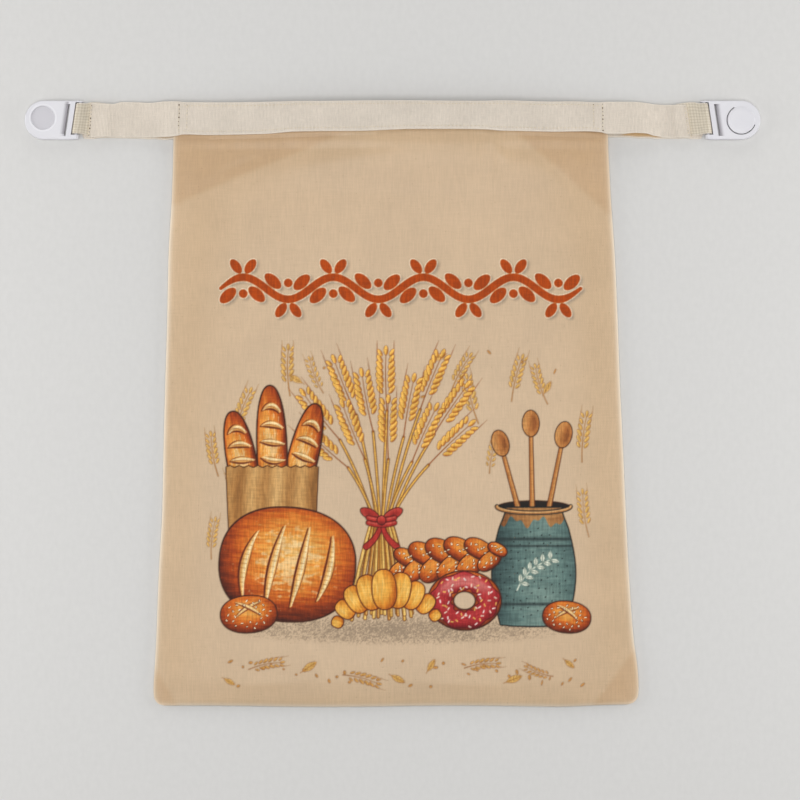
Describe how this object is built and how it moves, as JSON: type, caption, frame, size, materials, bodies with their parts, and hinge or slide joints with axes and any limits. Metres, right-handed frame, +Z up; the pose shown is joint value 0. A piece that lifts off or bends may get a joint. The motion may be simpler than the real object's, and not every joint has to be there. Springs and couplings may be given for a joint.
{
  "type": "bread bag",
  "caption": "Flat cloth bag with a webbing band across its mouth, running out to straps that hold the two halves of a snap buckle.",
  "frame": {"origin": "middle of the outline on the surface that the bag lies on", "axes": "+X to the right along the mouth band, +Y from the bottom seam towards the mouth, +Z up from the surface"},
  "size_m": [0.5342, 0.4404, 0.0198],
  "materials": {
    "twill": "fine tan twill with a printed front",
    "plain_twill": "fine tan twill",
    "webbing": "cream ribbed cotton webbing",
    "plastic": "white moulded, satin"
  },
  "bodies": {
    "bag": {"front_panel": "twill", "back_panel": "plain_twill", "front_band": "webbing", "back_band": "webbing"},
    "socket": {"socket_half": "plastic"},
    "button": {"button_half": "plastic"}
  },
  "joints": [
    {"name": "socket_swing", "type": "hinge", "parent": "bag", "child": "socket", "pos_m": [-0.2286, 0.2061, 0.0029], "axis": [0.1474, 0.9891, 0], "range_deg": [0, 105]},
    {"name": "button_swing", "type": "hinge", "parent": "bag", "child": "button", "pos_m": [0.2279, 0.2061, 0.0029], "axis": [0.1474, -0.9891, 0], "range_deg": [0, 105]}
  ]
}
